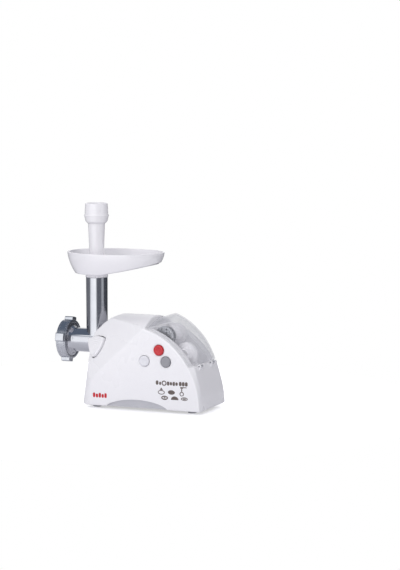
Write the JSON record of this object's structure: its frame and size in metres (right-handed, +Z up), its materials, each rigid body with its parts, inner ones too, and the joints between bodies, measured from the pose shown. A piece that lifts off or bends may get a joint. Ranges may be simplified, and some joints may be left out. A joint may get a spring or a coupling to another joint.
{
  "type": "electric meat grinder",
  "caption": "Worktop electric meat grinder with an aluminium feed head, lift-off food tray and pusher, push buttons on the front and a clear-lidded accessory store.",
  "frame": {"origin": "centre of the bounding box, on the floor the feet stand on", "axes": "+X from the feed head towards the storage end, +Y from the buttons' side to the rear, +Z up"},
  "size_m": [0.3272, 0.144, 0.4047],
  "materials": {
    "white_abs": "satin white",
    "clear_polycarbonate": "clear",
    "red_abs": "satin",
    "grey_abs": "satin",
    "polished_aluminium": "polished",
    "steel": "fine brushed",
    "rubber": "matte",
    "black_plastic": "matte",
    "circuit_board": "lacquered",
    "nylon": "satin",
    "brass": "plain",
    "copper": "enamelled",
    "lamination_steel": "oiled"
  },
  "bodies": {
    "base": {"housing": "white_abs", "base_cover": "white_abs", "foot_front_left": "rubber", "foot_front_right": "rubber", "foot_rear_left": "rubber", "foot_rear_right": "rubber", "base_screw_front_left": "steel", "base_screw_front_right": "steel", "base_screw_rear_left": "steel", "base_screw_rear_right": "steel", "cable_gland": "rubber", "head_socket": "grey_abs", "gearbox_case": "grey_abs", "gearbox_cover": "grey_abs", "output_bush": "brass", "idler_pin": "steel", "motor_stator": "lamination_steel", "field_coil_front": "copper", "field_coil_rear": "copper", "carbon_brush_front": "black_plastic", "carbon_brush_rear": "black_plastic", "motor_bracket": "grey_abs", "motor_bearing_front": "steel", "motor_bearing_rear": "steel", "switch_red": "black_plastic", "switch_grey": "black_plastic", "switch_white": "black_plastic", "switch_board": "circuit_board", "lid_hinge_pin_front": "steel", "lid_hinge_pin_rear": "steel", "kibbe_former": "white_abs", "sausage_tube": "white_abs", "spare_plate_fine": "steel", "spare_plate_coarse": "steel"},
    "lid": {"storage_lid": "clear_polycarbonate"},
    "rotor": {"motor_shaft": "steel", "rotor_core": "lamination_steel", "commutator": "copper", "cooling_fan": "black_plastic"},
    "idler": {"idler_gear": "nylon"},
    "output": {"output_gear": "nylon", "drive_spindle": "steel"},
    "head": {"feed_head": "polished_aluminium", "hole_plate": "steel"},
    "screw": {"feed_screw": "polished_aluminium", "cross_knife": "steel"},
    "ring": {"ring_nut": "polished_aluminium"},
    "tray": {"food_tray": "white_abs"},
    "pusher": {"pusher": "white_abs"},
    "release": {"release_button": "white_abs"},
    "button_red": {"button_red": "red_abs"},
    "button_grey": {"button_grey": "grey_abs"},
    "button_white": {"button_white": "white_abs"}
  },
  "joints": [
    {"name": "motor_spin", "type": "hinge", "parent": "base", "child": "rotor", "pos_m": [0.04018, 0, 0.058], "axis": [1, 0, 0], "continuous": true},
    {"name": "idler_spin", "type": "hinge", "parent": "base", "child": "idler", "pos_m": [-0.01982, 0.01883, 0.09043], "axis": [1, 0, 0], "continuous": true},
    {"name": "output_spin", "type": "hinge", "parent": "base", "child": "output", "pos_m": [-0.03982, 0, 0.126], "axis": [1, 0, 0], "continuous": true},
    {"name": "screw_spin", "type": "hinge", "parent": "base", "child": "screw", "pos_m": [-0.10982, 0, 0.126], "axis": [1, 0, 0], "continuous": true},
    {"name": "head_turn", "type": "hinge", "parent": "base", "child": "head", "pos_m": [-0.05982, 0, 0.126], "axis": [1, 0, 0], "range_deg": [-30, 0]},
    {"name": "ring_turn", "type": "hinge", "parent": "head", "child": "ring", "pos_m": [-0.15282, 0, 0.126], "axis": [1, 0, 0], "range_deg": [-360, 0]},
    {"name": "tray_lift", "type": "slide", "parent": "head", "child": "tray", "axis": [0, 0, 1], "range_m": [0, 0.05]},
    {"name": "pusher_slide", "type": "slide", "parent": "tray", "child": "pusher", "axis": [0, 0, 1], "range_m": [-0.098, 0.04]},
    {"name": "release_press", "type": "slide", "parent": "base", "child": "release", "axis": [0.3001, 0.8993, -0.3181], "range_m": [0, 0.003], "stiffness_N_per_m": 1000},
    {"name": "lid_hinge", "type": "hinge", "parent": "base", "child": "lid", "pos_m": [0.14968, 0, 0.0915], "axis": [0, 1, 0], "range_deg": [0, 100]},
    {"name": "button_red_press", "type": "slide", "parent": "base", "child": "button_red", "axis": [0, 1, 0], "range_m": [0, 0.003], "stiffness_N_per_m": 600},
    {"name": "button_grey_press", "type": "slide", "parent": "base", "child": "button_grey", "axis": [0, 1, 0], "range_m": [0, 0.003], "stiffness_N_per_m": 600},
    {"name": "button_white_press", "type": "slide", "parent": "base", "child": "button_white", "axis": [0, 1, 0], "range_m": [0, 0.003], "stiffness_N_per_m": 600}
  ],
  "couplings": [
    {"joint": "idler_spin", "follows": "motor_spin", "ratio": -0.25},
    {"joint": "output_spin", "follows": "motor_spin", "ratio": 0.069444},
    {"joint": "screw_spin", "follows": "motor_spin", "ratio": 0.069444}
  ]
}
